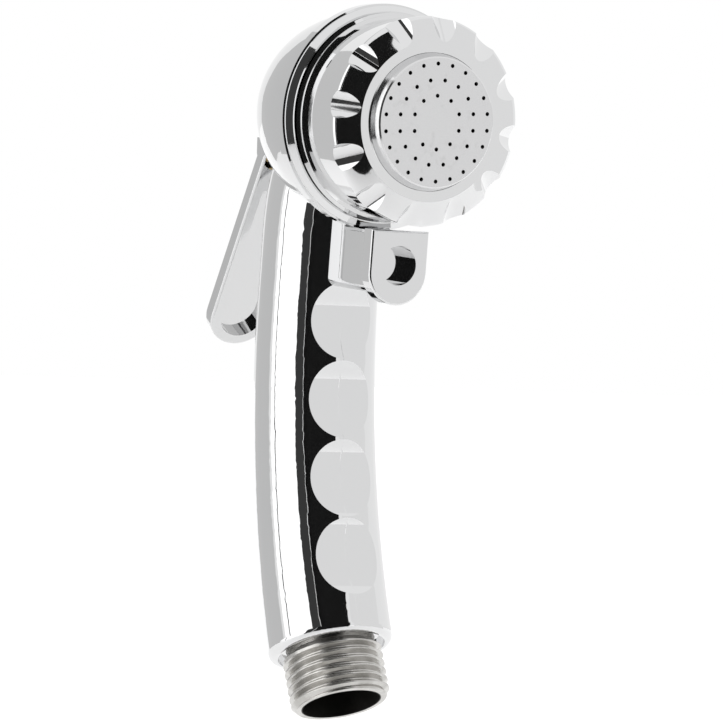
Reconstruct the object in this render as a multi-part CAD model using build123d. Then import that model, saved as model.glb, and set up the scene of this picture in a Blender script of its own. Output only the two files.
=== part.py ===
from build123d import *
import math
import os

# Handheld trigger shower head, millimetres.
# Origin: centre of the hose thread's end face. +Z up along the spray face, -Y the way
# the water leaves, X = 0 the plane that halves the whole body.

# Driving dimensions: where the head, the handle and the hose end stand
FACE_Y = -21.4            # plane of the spray holes
HEAD_Z = 121.8            # height of the head's axis
INLET_LEAN = 29.5         # degrees the hose thread leans from the vertical
THREAD_LENGTH = 11.7      # end face to the handle's end
ARC_RADIUS = 175.0        # bend of the handle's centre line
ARC_TOP_Z = 85.0          # where that bend becomes vertical
ARC_TOP_Y = 22.7

# Handle
GRIP_RADIUS_TOP = 12.6
GRIP_RADIUS_END = 13.2
GRIP_BORE = 8.4
SCOOP_DEPTH = 2.14
SCOOP_RADIUS = 15.0
SCOOP_FIRST = 2.05        # degrees along the bend to the middle of the first scoop
SCOOP_PITCH = 5.8
SCOOP_COUNT = 4
GRIP_BEND = 22.6          # degrees of bend down to the straight end
GRIP_STEPS = 8
TAPER_STEP = 8.6          # spacing of the sections above the bend
TAPER_STEPS = 3
TAPER_FROM_Z = 96.5       # where the grip starts to narrow into the dome
TAPER_LEAN = 1.6
TAPER_NARROWS = 0.8
END_ROUNDING = 1.5

# Dome and hanging lug
DOME_FRONT = 24.3         # distances behind the face plane
DOME_CENTRE = 28.5
DOME_RADIUS = 21.5
DOME_DEPTH = 27.5
DOME_WALL = 2.6
LUG_FACE_Y = -10.3
LUG_THICKNESS = 3.6
LUG_HALF_WIDTH = 6.7
LUG_HOLE_Z = 92.05
LUG_HOLE_RADIUS = 4.05
LUG_TOP_Z = 99.2
LUG_HOLE_DEPTH = 4.2
WEB_HALF_WIDTH = 4.4
WEB_TOP_Z = 98.1
WEB_BOTTOM_Z = 86.0

# Collar, bell and spray plate
COLLAR_RADIUS = 23.3
COLLAR_FRONT = 20.6
COLLAR_BACK = 26.2
BELL_RIM_RADIUS = 21.3
BELL_REAR_RADIUS = 20.3
BELL_REAR = 20.2
BELL_FLAT_RADIUS = 16.2
BELL_FACE = 2.4
BELL_CAVITY = 15.3
FLUTE_COUNT = 12
FLUTE_RADIUS = 3.4
FLUTE_TILT = 50.0         # degrees between the face's normal and the flute bottom's
FLUTE_START = 16.4        # radius where a flute's bottom leaves the face
FLUTE_PHASE = 6.5         # degrees from the top to the first flute
PLATE_RADIUS = 13.3
PLATE_BASE_RADIUS = 14.0
HOLE_RADIUS = 0.42
HOLE_TURN = 3.4           # degrees the whole pattern stands off the top
# radius, number of holes, steps the first hole stands off the pattern's top
HOLE_RINGS = ((11.87, 22, 0.0), (8.63, 16, 0.5), (5.40, 10, 0.0))

# Neck spigot
SPIGOT_RADIUS = 11.5
SPIGOT_BORE = 9.0
SPIGOT_FRONT = 8.0
RUNNING_GAP = 0.06

# Valve, on an axis parallel to Y
VALVE_Z = 108.0
CARTRIDGE_RADIUS = 6.2
CARTRIDGE_FRONT_Y = 8.5
CARTRIDGE_BACK_Y = 31.0
SEAT_FRONT_Y = 22.5
SEAT_BACK_Y = 24.3
SEAT_RADIUS = 3.0
CHAMBER_RADIUS = 4.8
STEM_RADIUS = 2.0
STEM_END_Y = 34.86
BUTTON_RADIUS = 2.0

# Lever
PIVOT_Y = 37.2
PIVOT_Z = 120.5
PIN_RADIUS = 1.5
LEVER_LEAN = 27.7
LEVER_HALF_WIDTH = 7.4
LEVER_THICKNESS = 3.4
LEVER_FACE_OFFSET = 4.43  # pivot to the plane of the lever's inner face
LEVER_TIP = 55.4          # pivot to the lever's end, along the lever
LEVER_RIM = 2.3
LEVER_KINK = 7.6          # pivot to where the lever turns vertical, along the lever
LEVER_RECESS_TOP = 16.5
LEVER_RECESS_DEPTH = 2.2
# Side outlines of the lever's upper end, (y, z)
LEVER_SHOULDER = ((36.81, 111.72), (36.4, 115.2), (40.9, 115.2), (40.6, 111.9), (39.82, 110.14))
LEVER_NECK = ((36.5, 114.0), (35.6, 118.0), (35.0, 120.5), (39.9, 120.5), (40.9, 115.2), (40.9, 114.0))
KNUCKLE_RADIUS = 2.9
EAR_INNER = 4.2
EAR_OUTER = 7.0

# Riser and inlet
RISER_RADIUS = 3.6
RISER_BORE = 2.6
RISER_Y = 18.4
RISER_START = 16.2        # distance along the inlet's axis
RISER_TOP = 100.8
THREAD_RADIUS = 10.478
THREAD_PITCH = 1.814
THREAD_DEPTH = 1.16
INLET_BORE = 8.2
NIPPLE_BARREL = 9.4
NIPPLE_TOP = 20.4

HEAD_AXIS = Axis((0, 0, HEAD_Z), (0, 1, 0))
LEAN = math.radians(INLET_LEAN)


def turned(points, axis_z):
    """Solid of revolution about a Y-parallel axis; points are (y, radius)."""
    outline = Polyline(*[(y, axis_z + r) for y, r in points], close=True)
    face = make_face(Plane.YZ * outline)
    return revolve(face, Axis((0, 0, axis_z), (0, 1, 0)), 360)


def head_turned(points):
    """Head piece; points are (distance behind the face plane, radius)."""
    return turned([(FACE_Y + a, r) for a, r in points], HEAD_Z)


def ring(a0, a1, r0, r1):
    return head_turned([(a0, r0), (a1, r0), (a1, r1), (a0, r1)])


def o_ring_y(y, z, mean, section):
    face = Plane.YZ * Pos(y, z + mean) * Circle(section)
    return revolve(face, Axis((0, 0, z), (0, 1, 0)), 360)


def y_cylinder(y0, y1, radius, z, x=0.0):
    return Pos(x, (y0 + y1) / 2, z) * Rot(90, 0, 0) * Cylinder(radius, y1 - y0)


def x_cylinder(x0, x1, radius, y, z):
    return Pos((x0 + x1) / 2, y, z) * Rot(0, 90, 0) * Cylinder(radius, x1 - x0)


def box(x0, x1, y0, y1, z0, z1):
    return Pos((x0 + x1) / 2, (y0 + y1) / 2, (z0 + z1) / 2) * Box(x1 - x0, y1 - y0, z1 - z0)


def along_inlet(shape):
    """Place a shape made on +Z from the hose thread's end face."""
    return Rot(-INLET_LEAN, 0, 0) * shape


def bend_point(degrees):
    b = math.radians(degrees)
    return (ARC_TOP_Y - ARC_RADIUS * (1 - math.cos(b)), ARC_TOP_Z - ARC_RADIUS * math.sin(b))


def grip_radius(degrees):
    share = min(max(degrees / 25.0, 0.0), 1.0)
    return GRIP_RADIUS_TOP + (GRIP_RADIUS_END - GRIP_RADIUS_TOP) * share


def grip_section(y, z, lean, radius):
    """Round section, square to the bend."""
    b = math.radians(lean)
    plane = Plane(origin=(0, y, z), x_dir=(1, 0, 0), z_dir=(0, math.sin(b), math.cos(b)))
    return plane * Circle(radius)


def finger_scoop(index):
    """Cylinder across the grip that hollows its front for one finger."""
    b = math.radians(SCOOP_FIRST + index * SCOOP_PITCH)
    floor = ARC_RADIUS - grip_radius(math.degrees(b)) + SCOOP_DEPTH
    reach = floor - SCOOP_RADIUS
    y = ARC_TOP_Y - ARC_RADIUS + reach * math.cos(b)
    z = ARC_TOP_Z - reach * math.sin(b)
    return x_cylinder(-14.0, 14.0, SCOOP_RADIUS, y, z)


def grip():
    """Banana-shaped grip with a row of finger scoops down its front."""
    sections = []
    for i in range(TAPER_STEPS, 0, -1):
        z = ARC_TOP_Z + i * TAPER_STEP
        share = max(z - TAPER_FROM_Z, 0.0) / (ARC_TOP_Z + TAPER_STEPS * TAPER_STEP - TAPER_FROM_Z)
        y = ARC_TOP_Y - TAPER_LEAN * share ** 2
        sections.append(grip_section(y, z, 0.0, GRIP_RADIUS_TOP - TAPER_NARROWS * share ** 2))
    for i in range(GRIP_STEPS + 1):
        angle = GRIP_BEND * i / GRIP_STEPS
        y, z = bend_point(angle)
        sections.append(grip_section(y, z, angle, grip_radius(angle)))
    end_y = THREAD_LENGTH * math.sin(LEAN)
    end_z = THREAD_LENGTH * math.cos(LEAN)
    sections.append(grip_section(end_y, end_z, INLET_LEAN, GRIP_RADIUS_END))
    bent = loft(sections)
    end = bent.faces().sort_by(Axis.Z)[0]
    shape = fillet(end.edges(), END_ROUNDING)
    return shape - [finger_scoop(i) for i in range(SCOOP_COUNT)]


def dome_profile(inset):
    """Half outline of the dome, the flat side on the axis."""
    front = FACE_Y + DOME_FRONT
    centre = FACE_Y + DOME_CENTRE
    radius = DOME_RADIUS - inset
    depth = DOME_DEPTH - inset
    side = Line((front, HEAD_Z + radius), (centre, HEAD_Z + radius))
    back = EllipticalCenterArc((centre, HEAD_Z), depth, radius, start_angle=0, arc_size=90)
    axis = Line((centre + depth, HEAD_Z), (front, HEAD_Z))
    mouth = Line((front, HEAD_Z), (front, HEAD_Z + radius))
    return revolve(make_face(Plane.YZ * Wire([side, back, axis, mouth])), HEAD_AXIS, 360)


def lug():
    """Hanging tab and the thick web that joins it to the grip."""
    back_y = LUG_FACE_Y + LUG_THICKNESS
    round_z = LUG_HOLE_Z - 1.5
    tab = box(-LUG_HALF_WIDTH, LUG_HALF_WIDTH, LUG_FACE_Y, back_y, round_z, LUG_TOP_Z)
    tab += y_cylinder(LUG_FACE_Y, back_y, LUG_HALF_WIDTH, round_z)
    tab = fillet(tab.faces().sort_by(Axis.Y)[0].edges(), 0.5)
    tab = fillet(tab.faces().sort_by(Axis.Y)[-1].edges(), 0.5)
    web = box(-WEB_HALF_WIDTH, WEB_HALF_WIDTH, back_y - 0.5, 14.0, WEB_BOTTOM_Z, WEB_TOP_Z)
    web = fillet(web.edges().filter_by(Axis.Y).sort_by(Axis.Z)[:2], 2.0)
    neck = box(-WEB_HALF_WIDTH, WEB_HALF_WIDTH, 5.3, 14.0, WEB_TOP_Z - 2.0, WEB_TOP_Z + 5.0)
    return tab + web + neck


def pivot_ears():
    """Two ears on the dome's back that carry the lever's pin."""
    ears = []
    for side in (-1, 1):
        x0, x1 = sorted((side * EAR_INNER, side * EAR_OUTER))
        ear = x_cylinder(x0, x1, 3.6, PIVOT_Y, PIVOT_Z)
        ear += box(x0, x1, PIVOT_Y - 9.0, PIVOT_Y, PIVOT_Z - 3.6, PIVOT_Z + 3.6)
        ears.append(ear)
    return ears


def handle_body():
    outer = grip() + dome_profile(0.0) + lug()
    for ear in pivot_ears():
        outer += ear
    inside = dome_profile(DOME_WALL)
    bend_axis = Axis((0, ARC_TOP_Y - ARC_RADIUS, ARC_TOP_Z), (1, 0, 0))
    bore_face = Plane((0, ARC_TOP_Y, ARC_TOP_Z), x_dir=(1, 0, 0), z_dir=(0, 0, 1)) * Circle(GRIP_BORE)
    bore = revolve(bore_face, bend_axis, -24.0)
    upper = Pos(0, 21.3, 95.0) * Cylinder(8.0, 27.0)
    pocket = y_cylinder(6.0, 28.5, 8.2, VALVE_Z)
    spot = y_cylinder(31.6, 45.0, 5.3, VALVE_Z)
    through = y_cylinder(28.0, 31.6, CARTRIDGE_RADIUS, VALVE_Z) + spot
    socket = along_inlet(Pos(0, 0, 16.0) * Cylinder(NIPPLE_BARREL, 9.0))
    mouth = along_inlet(Pos(0, 0, THREAD_LENGTH) * Cylinder(11.3, 2.8))
    knuckle = x_cylinder(-EAR_INNER, EAR_INNER, KNUCKLE_RADIUS + 0.45, PIVOT_Y, PIVOT_Z)
    body = outer - inside - bore - upper - pocket - through - socket - mouth - knuckle
    body -= y_cylinder(LUG_FACE_Y - 1, LUG_FACE_Y + LUG_HOLE_DEPTH, LUG_HOLE_RADIUS, LUG_HOLE_Z)
    body -= x_cylinder(-9.0, 9.0, PIN_RADIUS + 0.01, PIVOT_Y, PIVOT_Z)
    return body


def head_collar():
    """Union ring that clamps the spigot's flange on the dome, with a stepped front."""
    bore = DOME_RADIUS + 0.04
    return head_turned([
        (COLLAR_FRONT, 19.6), (COLLAR_FRONT, COLLAR_RADIUS - 1.5),
        (COLLAR_FRONT + 1.1, COLLAR_RADIUS - 0.4), (COLLAR_FRONT + 1.5, COLLAR_RADIUS - 0.4),
        (COLLAR_FRONT + 1.7, COLLAR_RADIUS), (COLLAR_BACK - 1.5, COLLAR_RADIUS),
        (COLLAR_BACK - 1.2, COLLAR_RADIUS - 0.45), (COLLAR_BACK - 0.8, COLLAR_RADIUS - 0.45),
        (COLLAR_BACK, COLLAR_RADIUS - 1.1), (COLLAR_BACK, bore),
        (DOME_FRONT - 2.6, bore), (DOME_FRONT - 2.6, 19.6)])


def neck_spigot():
    """Turned tube with a flange; the bell turns on it and the water runs through it."""
    groove_front = 14.0
    groove_back = 15.7
    groove = 10.15
    clip = 10.7
    return head_turned([
        (SPIGOT_FRONT, SPIGOT_BORE), (SPIGOT_FRONT, SPIGOT_RADIUS - 0.4),
        (SPIGOT_FRONT + 0.4, SPIGOT_RADIUS), (8.6, SPIGOT_RADIUS), (8.6, clip), (9.5, clip),
        (9.5, SPIGOT_RADIUS), (groove_front, SPIGOT_RADIUS), (groove_front, groove),
        (groove_back, groove), (groove_back, SPIGOT_RADIUS), (DOME_FRONT - 2.5, SPIGOT_RADIUS),
        (DOME_FRONT - 2.5, 21.2), (DOME_FRONT - 0.8, 21.2), (DOME_FRONT - 0.8, SPIGOT_BORE)])


def spigot_gasket():
    return ring(DOME_FRONT - 0.8, DOME_FRONT, 19.2, 21.2)


def spigot_o_ring():
    return o_ring_y(FACE_Y + 14.85, HEAD_Z, 10.9, 0.62)


def bell_snap_ring():
    """Open spring ring in the spigot's front groove that holds the bell on."""
    closed = ring(8.65, 9.45, 10.72, 12.8)
    gap = box(-3.5, 3.5, FACE_Y + 8.0, FACE_Y + 10.0, HEAD_Z - 14.0, HEAD_Z - 8.0)
    return closed - gap


def bell_flute(index):
    """Round-bottomed cut across the corner of the rim."""
    turn = index * 360 / FLUTE_COUNT + FLUTE_PHASE
    tilt = math.radians(FLUTE_TILT)
    y = FACE_Y + BELL_FACE - FLUTE_RADIUS * math.cos(tilt)
    r = FLUTE_START + FLUTE_RADIUS * math.sin(tilt)
    cut = Rot(90 + FLUTE_TILT, 0, 0) * Cylinder(FLUTE_RADIUS, 30.0)
    return Pos(0, 0, HEAD_Z) * Rot(0, turn, 0) * Pos(0, y, r) * cut


def spray_bell():
    """Conical knob: shell, front wall and the hub that turns on the spigot."""
    hub = SPIGOT_RADIUS + RUNNING_GAP
    y = FACE_Y
    z = HEAD_Z
    shoulder = Bezier((y + 5.0, z + BELL_RIM_RADIUS), (y + 3.8, z + BELL_RIM_RADIUS + 0.03),
                      (y + 3.3, z + 18.9), (y + BELL_FACE, z + BELL_FLAT_RADIUS))
    inner = hub + 2.4
    rear = y + BELL_REAR
    rest = Polyline(
        (y + BELL_FACE, z + BELL_FLAT_RADIUS), (y + BELL_FACE, z + PLATE_BASE_RADIUS + 0.05),
        (y + 3.6, z + PLATE_BASE_RADIUS + 0.05), (y + 3.6, z + BELL_CAVITY),
        (y + 9.7, z + BELL_CAVITY), (y + 9.7, z + hub), (y + 19.4, z + hub),
        (y + 19.4, z + inner), (y + 12.4, z + inner), (y + 12.4, z + 18.6),
        (rear, z + 18.6), (rear, z + 21.3), (rear - 0.5, z + 21.5), (rear - 0.9, z + 20.6),
        (rear - 1.4, z + 20.6), (rear - 1.5, z + 21.0), (rear - 1.9, z + 21.0),
        (rear - 2.0, z + BELL_REAR_RADIUS), (y + 5.0, z + BELL_RIM_RADIUS))
    outline = shoulder + rest
    bell = revolve(make_face(Plane.YZ * outline), HEAD_AXIS, 360)
    return bell - [bell_flute(i) for i in range(FLUTE_COUNT)]


def spray_plate():
    """Raised spray disc, a shallow cup with a flange behind the bell's front wall."""
    cup = head_turned([
        (1.6, 0.0), (0.0, 0.0), (0.0, PLATE_RADIUS - 0.3), (0.3, PLATE_RADIUS),
        (BELL_FACE, PLATE_BASE_RADIUS), (3.65, PLATE_BASE_RADIUS), (3.65, 15.2),
        (4.9, 15.2), (4.9, 12.4), (1.6, 12.4)])
    holes = []
    for radius, count, phase in HOLE_RINGS:
        for i in range(count):
            angle = 2 * math.pi * (i + phase) / count - math.radians(HOLE_TURN)
            x = radius * math.sin(angle)
            z = HEAD_Z + radius * math.cos(angle)
            holes.append(y_cylinder(FACE_Y - 1.0, FACE_Y + 2.2, HOLE_RADIUS, z, x))
    return cup - holes


def plate_gasket():
    return ring(4.9, 5.9, 12.6, 15.2)


def flow_diffuser():
    """Perforated disc that spreads the water over the spray plate."""
    disc = ring(5.9, 6.9, 0.0, 15.2)
    holes = []
    for i in range(12):
        angle = math.radians(30 * i)
        x = 8.6 * math.sin(angle)
        z = HEAD_Z + 8.6 * math.cos(angle)
        holes.append(y_cylinder(FACE_Y + 5.0, FACE_Y + 8.0, 1.1, z, x))
    return disc - holes


def diffuser_ring():
    """Retaining ring behind the diffuser, with two slots for a key."""
    closed = ring(6.9, 8.3, 13.4, 15.25)
    slot = box(-15.3, 15.3, FACE_Y + 7.6, FACE_Y + 9.0, HEAD_Z - 0.8, HEAD_Z + 0.8)
    return closed - slot


def valve_cartridge():
    """Brass tee: seat in the middle, spring chamber in front, outlet ports behind."""
    body = turned([
        (CARTRIDGE_FRONT_Y, CHAMBER_RADIUS), (CARTRIDGE_FRONT_Y, CARTRIDGE_RADIUS - 0.4),
        (CARTRIDGE_FRONT_Y + 0.4, CARTRIDGE_RADIUS - 0.02), (28.9, CARTRIDGE_RADIUS - 0.02),
        (28.9, 5.3), (30.3, 5.3), (30.3, CARTRIDGE_RADIUS - 0.02),
        (CARTRIDGE_BACK_Y, CARTRIDGE_RADIUS - 0.02), (CARTRIDGE_BACK_Y, 4.4),
        (SEAT_BACK_Y, 4.4), (SEAT_BACK_Y, SEAT_RADIUS), (SEAT_FRONT_Y, SEAT_RADIUS),
        (SEAT_FRONT_Y, CHAMBER_RADIUS)], VALVE_Z)
    leg = Pos(0, RISER_Y, 100.0) * Cylinder(4.5, 8.0)
    leg -= Pos(0, RISER_Y, 98.5) * Cylinder(RISER_RADIUS + 0.04, 5.0)
    leg -= y_cylinder(CARTRIDGE_FRONT_Y, CARTRIDGE_BACK_Y, CHAMBER_RADIUS + 0.2, VALVE_Z)
    body += leg
    body -= Pos(0, RISER_Y, 103.0) * Cylinder(RISER_BORE, 5.0)
    body -= Pos(0, RISER_Y, 98.6) * Cylinder(4.1, 1.5)
    for i in range(6):
        angle = math.radians(60 * i + 30)
        port = Pos(0, 26.4, VALVE_Z) * Rot(0, math.degrees(angle), 0) * Pos(0, 0, 5.5)
        body -= port * Cylinder(1.35, 4.0)
    return body


def cartridge_o_ring():
    return o_ring_y(29.6, VALVE_Z, 5.72, 0.42)


def cartridge_plug():
    """Screw plug that closes the chamber and carries the spring."""
    plug = y_cylinder(CARTRIDGE_FRONT_Y - 0.8, CARTRIDGE_FRONT_Y + 2.4, CHAMBER_RADIUS - 0.02, VALVE_Z)
    slot = box(-5.0, 5.0, CARTRIDGE_FRONT_Y - 1.2, CARTRIDGE_FRONT_Y + 0.4, VALVE_Z - 0.6, VALVE_Z + 0.6)
    return plug - slot


def valve_stem():
    """Stem through the gland: thin neck in the seat, disc holder in front, round button."""
    neck = 1.4
    rod = turned([
        (19.2, 0.0), (19.2, neck), (20.9, neck), (20.9, 4.0), (21.5, 4.0), (21.5, neck),
        (28.0, neck), (28.0, STEM_RADIUS), (STEM_END_Y, STEM_RADIUS), (STEM_END_Y, 0.0)], VALVE_Z)
    return rod


def stem_button():
    """Domed steel button that the lever's inner face rests on."""
    centre_y = STEM_END_Y + 1.3
    cap = y_cylinder(STEM_END_Y, centre_y, BUTTON_RADIUS, VALVE_Z)
    ball = Pos(0, centre_y, VALVE_Z) * Sphere(BUTTON_RADIUS)
    ball -= box(-3, 3, centre_y - 3, centre_y, VALVE_Z - 3, VALVE_Z + 3)
    return cap + ball


def poppet_washer():
    return turned([(21.5, 1.42), (22.46, 1.42), (22.46, 3.9), (21.5, 3.9)], VALVE_Z)


def poppet_nut():
    nut = extrude(Plane(origin=(0, 20.9, VALVE_Z), x_dir=(1, 0, 0), z_dir=(0, -1, 0))
                  * RegularPolygon(2.3, 6), 1.4)
    return nut - y_cylinder(18.0, 22.0, 1.41, VALVE_Z)


def valve_spring():
    """Round-wire compression spring between the plug and the disc holder."""
    wire = 0.35
    mean = 3.1
    start = CARTRIDGE_FRONT_Y + 2.4 + wire + 0.02
    length = 20.9 - wire - 0.02 - start
    turns = 6
    path = Helix(length / turns, length, mean, center=(0, start, VALVE_Z), direction=(0, 1, 0))
    section = Plane(origin=path @ 0, z_dir=path % 0) * Circle(wire)
    return sweep(section, path=path, is_frenet=True)


def gland_nut():
    """Hexagon nut that closes the cartridge's back and guides the stem."""
    hexagon = extrude(Plane(origin=(0, 31.6, VALVE_Z), x_dir=(1, 0, 0), z_dir=(0, 1, 0))
                      * RegularPolygon(4.9, 6), 1.8)
    spigot = turned([(28.6, 3.3), (28.6, 4.38), (31.6, 4.38), (31.6, 2.05), (30.2, 2.05),
                     (30.2, 3.3)], VALVE_Z)
    return hexagon - y_cylinder(31.0, 34.0, STEM_RADIUS + 0.05, VALVE_Z) + spigot


def gland_o_ring():
    return o_ring_y(29.5, VALVE_Z, 2.65, 0.62)


def lever_frame():
    """Plane of the lever's inner face: x across, y up the lever, z towards the grip."""
    lean = math.radians(LEVER_LEAN)
    normal = (0, -math.cos(lean), -math.sin(lean))
    origin = (0, PIVOT_Y + LEVER_FACE_OFFSET * normal[1], PIVOT_Z + LEVER_FACE_OFFSET * normal[2])
    return Plane(origin=origin, x_dir=(1, 0, 0), z_dir=normal)


def lever_bar(half_width, top, bottom, start, thickness):
    """Bar along the lever with a round lower end; start is measured outwards."""
    centre = bottom + half_width
    outline = Pos(0, (top + centre) / 2) * Rectangle(2 * half_width, top - centre)
    outline += Pos(0, centre) * Circle(half_width)
    return extrude(lever_frame() * Pos(0, 0, -start) * outline, -thickness)


def lever():
    """Channel lever: round end, raised rim round a recess, knuckle on the pin."""
    bar = lever_bar(LEVER_HALF_WIDTH, -LEVER_KINK, -LEVER_TIP, 0.0, LEVER_THICKNESS)
    bar = fillet(bar.faces().sort_by(Axis.Y)[-1].edges(), 0.6)
    half = LEVER_HALF_WIDTH - LEVER_RIM
    recess = lever_bar(half, -LEVER_RECESS_TOP, -LEVER_TIP + LEVER_RIM, -1.0, 1.0 + LEVER_RECESS_DEPTH)
    shoulder = extrude(make_face(Plane.YZ * Polyline(*LEVER_SHOULDER, close=True)),
                       LEVER_HALF_WIDTH, both=True)
    neck_half = EAR_INNER - 0.25
    neck = extrude(make_face(Plane.YZ * Polyline(*LEVER_NECK, close=True)), neck_half, both=True)
    knuckle = x_cylinder(-neck_half, neck_half, KNUCKLE_RADIUS, PIVOT_Y, PIVOT_Z)
    shape = bar + shoulder + neck + knuckle - recess
    return shape - x_cylinder(-9.0, 9.0, PIN_RADIUS + 0.04, PIVOT_Y, PIVOT_Z)


def lever_pin():
    pin = x_cylinder(-EAR_OUTER, EAR_OUTER + 1.6, PIN_RADIUS, PIVOT_Y, PIVOT_Z)
    head = x_cylinder(-EAR_OUTER - 1.0, -EAR_OUTER, 2.4, PIVOT_Y, PIVOT_Z)
    groove = x_cylinder(EAR_OUTER + 0.2, EAR_OUTER + 0.8, 3.0, PIVOT_Y, PIVOT_Z)
    groove -= x_cylinder(EAR_OUTER, EAR_OUTER + 1.0, 1.1, PIVOT_Y, PIVOT_Z)
    return pin + head - groove


def pin_clip():
    """E-clip in the pin's groove."""
    clip = x_cylinder(EAR_OUTER + 0.22, EAR_OUTER + 0.78, 2.7, PIVOT_Y, PIVOT_Z)
    clip -= x_cylinder(EAR_OUTER, EAR_OUTER + 1.0, 1.12, PIVOT_Y, PIVOT_Z)
    clip -= box(EAR_OUTER, EAR_OUTER + 1.0, PIVOT_Y - 0.9, PIVOT_Y + 0.9, PIVOT_Z - 3.0, PIVOT_Z)
    return clip


def riser_tube():
    """Water tube from the inlet, bent once, then straight up to the cartridge."""
    direction = (0, math.sin(LEAN), math.cos(LEAN))
    bend_from = RISER_START + 4.5
    start = (0, RISER_START * direction[1], RISER_START * direction[2])
    bend_start = (0, bend_from * direction[1], bend_from * direction[2])
    radius = (RISER_Y - bend_start[1]) / (1 - math.cos(LEAN))
    bend_end = (0, RISER_Y, bend_start[2] + radius * math.sin(LEAN))
    bend = TangentArc(bend_start, bend_end, tangent=direction)
    path = Wire([Line(start, bend_start), bend, Line(bend_end, (0, RISER_Y, RISER_TOP))])
    section = Plane(origin=start, z_dir=direction)
    outer = sweep(section * Circle(RISER_RADIUS), path=path)
    inner = sweep(section * Circle(RISER_BORE), path=path)
    return outer - inner


def riser_o_rings():
    """One seal at each end of the riser."""
    mean = RISER_RADIUS + 0.24
    section = 0.22
    top = Pos(0, RISER_Y, 98.6) * Torus(mean, section)
    bottom = along_inlet(Pos(0, 0, 18.6) * Torus(mean, section))
    return Compound(children=[top, bottom])


def thread_groove():
    """Helical V groove of the hose thread, running out past both ends."""
    root = THREAD_RADIUS - THREAD_DEPTH
    start = -1.5 * THREAD_PITCH
    length = THREAD_LENGTH - 0.9 - start
    path = Helix(THREAD_PITCH, length, root, center=(0, 0, start))
    depth = THREAD_DEPTH + 0.6
    half = THREAD_PITCH * 0.62
    section = Polyline((depth, -half), (0.0, -0.12), (0.0, 0.12), (depth, half), close=True)
    plane = Plane(origin=path @ 0, x_dir=(1, 0, 0), z_dir=path % 0)
    return sweep(plane * make_face(section), path=path, is_frenet=True)


def inlet_nipple():
    """Threaded inlet: hose thread outside, washer seat and riser socket inside."""
    thread_end = THREAD_LENGTH - 1.1
    sleeve = Pos(0, 0, thread_end / 2) * Cylinder(THREAD_RADIUS, thread_end) - thread_groove()
    chamfer = Polyline((THREAD_RADIUS - 1.1, -0.1), (THREAD_RADIUS + 0.1, 1.1),
                       (THREAD_RADIUS + 0.1, -0.1), close=True)
    sleeve -= revolve(make_face(Plane.XZ * chamfer), Axis.Z, 360)
    barrel = NIPPLE_BARREL - 0.02
    outline = Polyline(
        (0, thread_end - 0.4), (9.1, thread_end - 0.4), (9.1, THREAD_LENGTH + 0.3),
        (barrel, THREAD_LENGTH + 1.4), (barrel, 14.2), (8.5, 14.2), (8.5, 15.9),
        (barrel, 15.9), (barrel, NIPPLE_TOP), (0, NIPPLE_TOP), close=True)
    body = sleeve + revolve(make_face(Plane.XZ * outline), Axis.Z, 360)
    socket = RISER_RADIUS + 0.04
    water = Polyline(
        (0, -1.0), (INLET_BORE, -1.0), (INLET_BORE, 10.5), (RISER_BORE, 12.5),
        (RISER_BORE, RISER_START), (socket, RISER_START), (socket, 17.8), (4.1, 17.8),
        (4.1, 19.4), (socket, 19.4), (socket, NIPPLE_TOP + 1.0), (0, NIPPLE_TOP + 1.0), close=True)
    return along_inlet(body - revolve(make_face(Plane.XZ * water), Axis.Z, 360))


def nipple_o_ring():
    return along_inlet(Pos(0, 0, 15.05) * Torus(8.96, 0.40))


def flow_restrictor():
    """Disc with a small orifice that limits the flow."""
    disc = Pos(0, 0, 9.7) * Cylinder(INLET_BORE - 0.05, 1.4)
    return along_inlet(disc - Pos(0, 0, 9.7) * Cylinder(1.5, 3.0))


def inlet_screen():
    """Round strainer in front of the restrictor: rim and crossing bars."""
    z = 8.4
    rim = Pos(0, 0, z) * (Cylinder(INLET_BORE - 0.05, 1.0) - Cylinder(INLET_BORE - 0.9, 1.0))
    screen = rim
    for i in range(-4, 5):
        offset = 1.6 * i
        length = 2 * math.sqrt((INLET_BORE - 0.5) ** 2 - offset ** 2)
        screen += Pos(offset, 0, z) * Box(0.45, length, 0.5)
        screen += Pos(0, offset, z) * Box(length, 0.45, 0.5)
    return along_inlet(screen)


PIECES = (
    handle_body, head_collar, spray_bell, spray_plate, plate_gasket, flow_diffuser,
    diffuser_ring, neck_spigot, spigot_gasket, spigot_o_ring, bell_snap_ring,
    valve_cartridge, cartridge_o_ring, cartridge_plug, valve_stem, stem_button,
    poppet_washer, poppet_nut, valve_spring, gland_nut, gland_o_ring, lever, lever_pin,
    pin_clip, riser_tube, riser_o_rings, inlet_nipple, nipple_o_ring, flow_restrictor,
    inlet_screen)


def main():
    os.makedirs("parts", exist_ok=True)
    for piece in PIECES:
        export_step(piece(), "parts/" + piece.__name__ + ".step")


if __name__ == "__main__":
    main()
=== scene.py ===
import math

import bmesh
import bpy
from mathutils import Matrix, Quaternion, Vector


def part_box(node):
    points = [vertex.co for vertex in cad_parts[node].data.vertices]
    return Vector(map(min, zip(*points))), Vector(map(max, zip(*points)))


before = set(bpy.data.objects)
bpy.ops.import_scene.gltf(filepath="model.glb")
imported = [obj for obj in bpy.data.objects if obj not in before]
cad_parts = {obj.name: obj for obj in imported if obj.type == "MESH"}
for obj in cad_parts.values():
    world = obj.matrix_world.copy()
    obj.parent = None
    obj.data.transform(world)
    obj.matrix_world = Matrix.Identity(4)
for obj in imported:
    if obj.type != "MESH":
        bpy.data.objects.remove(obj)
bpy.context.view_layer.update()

# Camera: a long portrait lens standing 30 degrees to the left of the spray face and a
# little above the middle of the handle, rolled a few degrees as the shower head hangs.
CAMERA_AZIMUTH = math.radians(-29.63)
CAMERA_HEIGHT = math.radians(4.04)
CAMERA_ROLL = math.radians(4.22)
CAMERA_DISTANCE = 0.9
camera_aim = Vector((0.0036, 0.0084, 0.0707))
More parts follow.
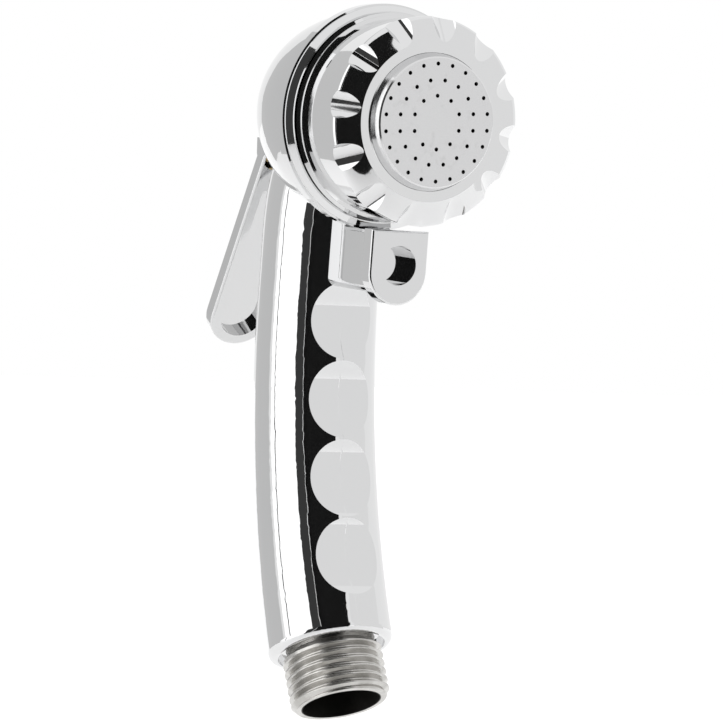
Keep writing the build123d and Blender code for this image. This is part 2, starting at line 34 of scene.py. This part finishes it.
camera_back = Vector((
    math.sin(CAMERA_AZIMUTH) * math.cos(CAMERA_HEIGHT),
    -math.cos(CAMERA_AZIMUTH) * math.cos(CAMERA_HEIGHT),
    math.sin(CAMERA_HEIGHT)))
camera_data = bpy.data.cameras.new("camera")
camera_data.lens = 215.1
camera_data.sensor_width = 36.0
camera_data.clip_start = 0.05
camera_data.clip_end = 30.0
camera = bpy.data.objects.new("camera", camera_data)
camera.rotation_mode = "QUATERNION"
camera.location = camera_aim + camera_back * CAMERA_DISTANCE
camera.rotation_quaternion = (
    camera_back.to_track_quat("Z", "Y") @ Quaternion((0, 0, 1), CAMERA_ROLL))
bpy.context.scene.collection.objects.link(camera)
bpy.context.scene.camera = camera
bpy.context.scene.view_settings.view_transform = "Standard"


# Studio: a white room with a pale floor well below the shower head, a soft box on its left,
# grey walls, and black flags that draw the dark bands which polished chrome reads by.
def stage_sheet(name, width, height, place, shade, glow=0.0, seen=False):
    """A flat card that faces along its place's own Z axis."""
    card = bpy.data.meshes.new(name)
    shape = bmesh.new()
    bmesh.ops.create_grid(shape, x_segments=1, y_segments=1, size=0.5)
    bmesh.ops.scale(shape, vec=(width, height, 1.0), verts=shape.verts)
    bmesh.ops.transform(shape, matrix=place, verts=shape.verts)
    shape.to_mesh(card)
    shape.free()
    paint = bpy.data.materials.new(name)
    paint.use_nodes = True
    tree = paint.node_tree
    paper = tree.nodes["Principled BSDF"]
    paper.inputs["Base Color"].default_value = (*shade, 1.0)
    paper.inputs["Roughness"].default_value = 1.0
    paper.inputs["Specular IOR Level"].default_value = 0.0
    if glow > 0:
        lamp = tree.nodes.new("ShaderNodeEmission")
        lamp.inputs["Strength"].default_value = glow
        if seen:
            both = tree.nodes.new("ShaderNodeAddShader")
            tree.links.new(paper.outputs[0], both.inputs[0])
            tree.links.new(lamp.outputs[0], both.inputs[1])
            tree.links.new(both.outputs[0], tree.nodes["Material Output"].inputs["Surface"])
        else:
            tree.links.new(lamp.outputs[0], tree.nodes["Material Output"].inputs["Surface"])
    card.materials.append(paint)
    sheet = bpy.data.objects.new(name, card)
    sheet.visible_camera = seen
    bpy.context.scene.collection.objects.link(sheet)


def around(azimuth, elevation, distance):
    """Place of a card that faces the shower head from this direction; 0 is in front of it."""
    a, e = math.radians(azimuth), math.radians(elevation)
    back = Vector((math.sin(a) * math.cos(e), -math.cos(a) * math.cos(e), math.sin(e)))
    turn = back.to_track_quat("Z", "Y").to_matrix().to_4x4()
    return Matrix.Translation(camera_aim + back * distance) @ turn


FLOOR_SIZE = 14.0
FLOOR_HEIGHT = -0.55
stage_sheet("floor", FLOOR_SIZE, FLOOR_SIZE, Matrix.Translation((0, 0, FLOOR_HEIGHT)),
            (0.93, 0.93, 0.93), glow=0.28, seen=True)
stage_sheet("softbox_left", 1.60, 3.8, around(-92.5, 8, 1.6), (1, 1, 1), glow=1.55)
stage_sheet("softbox_edge", 0.045, 3.2, around(-109, 4, 1.5), (0.04, 0.04, 0.04))
stage_sheet("grey_wall_behind", 1.75, 4.4, around(-151, 5, 1.7), (0.8, 0.8, 0.8), glow=0.66)
stage_sheet("grey_flag_left", 0.40, 3.4, around(-58.5, 0, 1.48), (0.06, 0.06, 0.06), glow=0.05)
stage_sheet("black_flag_front", 1.80, 3.6, around(-19, 0, 1.5), (0.012, 0.012, 0.012))
stage_sheet("grey_wall_right", 2.2, 5.0, around(52, 5, 1.75), (0.8, 0.8, 0.8), glow=0.92)

world = bpy.data.worlds.new("studio")
world.use_nodes = True
world.node_tree.nodes["Background"].inputs["Color"].default_value = (1.0, 1.0, 1.0, 1.0)
world.node_tree.nodes["Background"].inputs["Strength"].default_value = 1.0
bpy.context.scene.world = world


# Handle: one zinc casting with the dome, the grip, the hanging tab and the pivot ears. It is
# polished and chrome plated, and a faint line is left down its front where the die parted.
class Wire:
    """One socket; arithmetic on it adds Math nodes to the material."""

    def __init__(self, tree, socket):
        self.tree = tree
        self.socket = socket

    def node(self, kind, settings=None, inputs=None, out=0):
        """Any other node: its settings first, then its sockets' values or links."""
        made = self.tree.nodes.new(kind)
        for key, value in (settings or {}).items():
            setattr(made, key, value)
        for key, value in (inputs or {}).items():
            if isinstance(value, Wire):
                self.tree.links.new(value.socket, made.inputs[key])
            else:
                made.inputs[key].default_value = value
        return Wire(self.tree, made.outputs[out])

    def maths(self, operation, first, second):
        return self.node("ShaderNodeMath", {"operation": operation}, {0: first, 1: second})

    def __add__(self, other):
        return self.maths("ADD", self, other)

    def __radd__(self, other):
        return self.maths("ADD", other, self)

    def __rsub__(self, other):
        return self.maths("SUBTRACT", other, self)

    def __mul__(self, other):
        return self.maths("MULTIPLY", self, other)

    def __rmul__(self, other):
        return self.maths("MULTIPLY", other, self)

    def __abs__(self):
        return self.node("ShaderNodeMath", {"operation": "ABSOLUTE"}, {0: self})

    def sine(self):
        return self.node("ShaderNodeMath", {"operation": "SINE"}, {0: self})

    def rise(self, low, high):
        """0 below low, 1 above high, smooth between; low may be the larger."""
        return self.node("ShaderNodeMapRange", {"interpolation_type": "SMOOTHSTEP"},
                         {"Value": self, "From Min": low, "From Max": high})

    def along(self, axis):
        """How far a place lies along this axis."""
        return self.node("ShaderNodeVectorMath", {"operation": "DOT_PRODUCT"},
                         {0: self, 1: axis}, out="Value")

    def off(self, axis, through=(0, 0, 0)):
        """How far a place lies from the line through this point along this axis."""
        placed = self.node("ShaderNodeVectorMath", {"operation": "SUBTRACT"},
                           {0: self, 1: through})
        crossed = placed.node("ShaderNodeVectorMath", {"operation": "CROSS_PRODUCT"},
                              {0: placed, 1: axis})
        return crossed.node("ShaderNodeVectorMath", {"operation": "LENGTH"},
                            {0: crossed}, out="Value")

    def grain(self, size, detail=2.0, stretch=(1, 1, 1)):
        """Noise from 0 to 1 whose lumps are about this size in metres."""
        mapped = self.node("ShaderNodeMapping", None, {"Vector": self, "Scale": stretch})
        return mapped.node("ShaderNodeTexNoise", None,
                           {"Vector": mapped, "Scale": 1.0 / size, "Detail": detail})

    def tint(self, low, high):
        """A colour that goes from low to high with this mask."""
        top = high if isinstance(high, Wire) else (*high, 1.0)
        return self.node("ShaderNodeMix", {"data_type": "RGBA"},
                         {0: self, 6: (*low, 1.0), 7: top}, out=2)

    def bump(self, strength, depth, under=None):
        """A normal raised by this height, on top of another if one is given."""
        inputs = {"Height": self, "Strength": strength, "Distance": depth}
        if under is not None:
            inputs["Normal"] = under
        return self.node("ShaderNodeBump", None, inputs)


def new_finish(name, metallic=0.0):
    """A material, a wire that carries the place on the piece, and the shader."""
    finish = bpy.data.materials.new(name)
    finish.use_nodes = True
    tree = finish.node_tree
    place = tree.nodes.new("ShaderNodeTexCoord")
    shader = tree.nodes["Principled BSDF"]
    shader.inputs["Metallic"].default_value = metallic
    return finish, Wire(tree, place.outputs["Object"]), shader


def feed(shader, colour, roughness, normal):
    """Links what varies over the surface to the shader."""
    for name, wire in (("Base Color", colour), ("Roughness", roughness), ("Normal", normal)):
        wire.tree.links.new(wire.socket, shader.inputs[name])


RIPPLE_SIZE = 0.011
RIPPLE_DEPTH = 0.0004


def chrome_plate(name, tone, haze, ripple):
    """Polished plate: tone is its grey, haze the wiping marks, ripple the waviness."""
    finish, place, shader = new_finish(name, metallic=1.0)
    wiped = place.grain(0.018, 3.0, (1.0, 1.0, 0.35))
    fine = place.grain(0.0016)
    specks = place.grain(0.0009, 1.0).rise(0.70, 0.78)
    colour = wiped.tint([tone * share for share in (0.965, 0.970, 0.980)], (tone,) * 3)
    roughness = 0.022 + haze * wiped + 0.3 * haze * fine + 0.04 * specks
    rippled = place.grain(RIPPLE_SIZE, 1.0).bump(ripple, RIPPLE_DEPTH)
    return finish, place, shader, colour, roughness, rippled


def dress(finish, *nodes):
    """Gives a finish to CAD pieces that keep their own shape."""
    for node in nodes:
        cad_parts[node].data.materials[0] = finish


PARTING_HALF_WIDTH = 0.00022
PARTING_TOP = 0.080
PARTING_FRONT = 0.016
handle_chrome, place, shader, colour, roughness, rippled = chrome_plate(
    "handle_chrome", 0.74, 0.018, 0.014)
parting = abs(place.along((1, 0, 0))).rise(PARTING_HALF_WIDTH, 0.0)
parting = parting * place.along((0, 0, 1)).rise(PARTING_TOP, PARTING_TOP - 0.004)
parting = parting * place.along((0, 1, 0)).rise(PARTING_FRONT, PARTING_FRONT - 0.003)
feed(shader, colour, roughness + 0.10 * parting, parting.bump(0.25, 0.0001, rippled))
dress(handle_chrome, "handle_body")


# Riser tube: the polymer pipe that carries water up inside the grip. It is extruded, so faint
# lines run along it, and two black rubber rings seal its ends.
def moulded(name, light, dark, gloss, texture):
    """Semi-matt polymer: flow marks in its colour and a fine moulded texture."""
    finish, place, shader = new_finish(name)
    marks = place.grain(0.009, 3.0, (1.0, 1.0, 0.4))
    skin = place.grain(texture, 2.0)
    feed(shader, marks.tint(dark, light), gloss + 0.12 * marks + 0.06 * skin,
         skin.bump(0.25, 0.00006))
    return finish


def rubber(name, grey):
    """Black nitrile: a pale bloom in patches and a fine matt skin."""
    finish, place, shader = new_finish(name)
    bloom = place.grain(0.003, 3.0).rise(0.45, 0.75)
    skin = place.grain(0.0004, 3.0)
    feed(shader, bloom.tint((grey,) * 3, (grey * 2.1,) * 3), 0.52 + 0.2 * bloom,
         skin.bump(0.3, 0.00004))
    return finish


dress(moulded("riser_polymer", (0.80, 0.80, 0.78), (0.70, 0.70, 0.67), 0.34, 0.0006), "riser_tube")
seal_rubber = rubber("seal_rubber", 0.022)
dress(seal_rubber, "riser_o_rings")


# Valve cartridge: turned brass body, plug, gland nut and poppet nut, screwed in from the back.
# Turning leaves fine rings round the axis, and bare brass dulls in patches.
def turned_metal(name, bright, dull, gloss, axis, pitch, metallic=1.0):
    """Machined metal: rings this far apart along the axis, and patches that have dulled."""
    finish, place, shader = new_finish(name, metallic=metallic)
    rings = (place.along(axis) * (2.0 * math.pi / pitch)).sine()
    patches = place.grain(0.005, 4.0).rise(0.35, 0.70)
    feed(shader, patches.tint(bright, dull), gloss + 0.14 * patches + 0.03 * rings,
         rings.bump(0.15, 0.00002))
    return finish


valve_brass = turned_metal("valve_brass", (0.78, 0.60, 0.30), (0.56, 0.40, 0.19), 0.20,
                           (0, 1, 0), 0.00022)
dress(valve_brass, "valve_cartridge", "cartridge_plug", "gland_nut", "poppet_nut")
dress(seal_rubber, "cartridge_o_ring", "gland_o_ring", "poppet_washer")


# Stem, its button and spring: drawn stainless steel. The lever presses the button, which
# lifts the washer off its seat, and the spring closes it again.
stem_steel = turned_metal("stem_steel", (0.66, 0.67, 0.68), (0.50, 0.51, 0.52), 0.15,
                          (0, 1, 0), 0.00030)
dress(stem_steel, "valve_stem", "stem_button", "valve_spring")


# Neck spigot: turned brass, screwed into the dome. The bell turns on it, held by a spring
# steel snap ring, and a flat gasket and an O-ring keep the joint tight.
dress(turned_metal("spigot_brass", (0.76, 0.58, 0.28), (0.55, 0.39, 0.18), 0.22,
                   (0, 1, 0), 0.00035), "neck_spigot")
dress(turned_metal("snap_ring_steel", (0.42, 0.43, 0.45), (0.28, 0.29, 0.31), 0.28,
                   (1, 0, 0), 0.00040), "bell_snap_ring")
dress(seal_rubber, "spigot_gasket", "spigot_o_ring")


# Head collar: a chrome plated ring pressed between the dome and the bell. Its polish runs
# round it, so the haze is stretched sideways.
collar_chrome, place, shader, colour, roughness, rippled = chrome_plate(
    "collar_chrome", 0.74, 0.022, 0.012)
buffed = place.grain(0.0012, 2.0, (0.3, 3.0, 0.3))
feed(shader, colour, roughness + 0.02 * buffed, rippled)
dress(collar_chrome, "head_collar")


# Spray bell: the fluted cap that is turned to change the spray. Die cast, chrome plated, with
# the plate a little hazier in the bottoms of its flutes, where the buff can't reach.
bell_chrome, place, shader, colour, roughness, rippled = chrome_plate(
    "bell_chrome", 0.76, 0.018, 0.014)
head_height = (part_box("spray_bell")[0][2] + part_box("spray_bell")[1][2]) / 2
BELL_RIM = 0.0205
hollow = place.off((0, 1, 0), (0, 0, head_height)).rise(BELL_RIM, BELL_RIM - 0.002)
feed(shader, colour, roughness + 0.012 * hollow, rippled)
dress(bell_chrome, "spray_bell")


# Flow diffuser and its ring: moulded white polymer behind the spray plate. They spread the
# water, and a black flat gasket seals the plate's edge.
white_polymer = moulded("white_polymer", (0.88, 0.88, 0.86), (0.80, 0.80, 0.78), 0.30, 0.0005)
dress(white_polymer, "flow_diffuser", "diffuser_ring")
dress(seal_rubber, "plate_gasket")


# Spray plate: a drilled brass disc, satin chrome plated. The face is a little greyer than the
# bell, and a faint film of lime lies among the holes.
HOLE_FIELD = 0.0125
plate_chrome, place, shader, colour, roughness, rippled = chrome_plate(
    "plate_chrome", 0.70, 0.03, 0.012)
lime = place.grain(0.0020, 4.0).rise(0.55, 0.80)
from_centre = place.off((0, 1, 0), (0, 0, head_height))
field = from_centre.rise(HOLE_FIELD, HOLE_FIELD - 0.002)
feed(shader, (0.6 * lime * field).tint((0.70, 0.70, 0.705), (0.60, 0.60, 0.60)),
     0.075 + 0.05 * lime * field + roughness, rippled)
dress(plate_chrome, "spray_plate")


# Lever: a chrome plated casting with a shallow recess in its inner face, hung on the ears of
# the handle. Thumbs have left it slightly hazy.
lever_chrome, place, shader, colour, roughness, rippled = chrome_plate(
    "lever_chrome", 0.68, 0.03, 0.03)
thumbed = place.grain(0.007, 4.0).rise(0.42, 0.70)
feed(shader, colour, roughness + 0.05 * thumbed, rippled)
dress(lever_chrome, "lever")


# Lever pin and its clip: bright stainless wire. The pin passes through both ears of the
# handle and the lever's knuckle, and the clip snaps into its groove.
dress(turned_metal("pin_steel", (0.64, 0.65, 0.66), (0.48, 0.49, 0.50), 0.16,
                   (1, 0, 0), 0.00020), "lever_pin", "pin_clip")


# Inlet nipple: satin nickel plated brass with the hose thread, screwed into the end of the
# grip. Its bore is painted near black as shade, and its end face shows the turning.
INLET_AXIS = (0.0, 0.492424, 0.870356)
BORE_WALL = 0.0084
nipple_nickel, place, shader = new_finish("nipple_nickel", metallic=1.0)
wall = place.off(INLET_AXIS)
in_bore = wall.rise(BORE_WALL + 0.0001, BORE_WALL - 0.0001)
turning = (place.along(INLET_AXIS) * (2.0 * math.pi / 0.00030)).sine()
patchy = place.grain(0.004, 4.0).rise(0.35, 0.70)
plated = patchy.tint((0.60, 0.59, 0.57), (0.47, 0.46, 0.44))
# Painted shade: the bore wall is coloured near black for the shade inside the tube.
bore_painted_shade = (1 - in_bore).tint((0.035, 0.033, 0.030), plated)
feed(shader, bore_painted_shade, 0.17 + 0.10 * patchy + 0.35 * in_bore, turning.bump(0.18, 0.00002))
dress(nipple_nickel, "inlet_nipple")
dress(seal_rubber, "nipple_o_ring")


# Flow restrictor and inlet screen: a white polymer insert in the nipple with a woven
# stainless screen over it, which keeps grit out of the valve.
# Painted shade: the white insert and the steel screen are coloured dark grey for the shade deep in
# the bore.
dress(moulded("restrictor_polymer", (0.30, 0.30, 0.30), (0.20, 0.20, 0.20), 0.38, 0.0005),
      "flow_restrictor")
dress(turned_metal("screen_steel", (0.34, 0.34, 0.35), (0.20, 0.20, 0.21), 0.30,
                   (1, 0, 0), 0.00025), "inlet_screen")
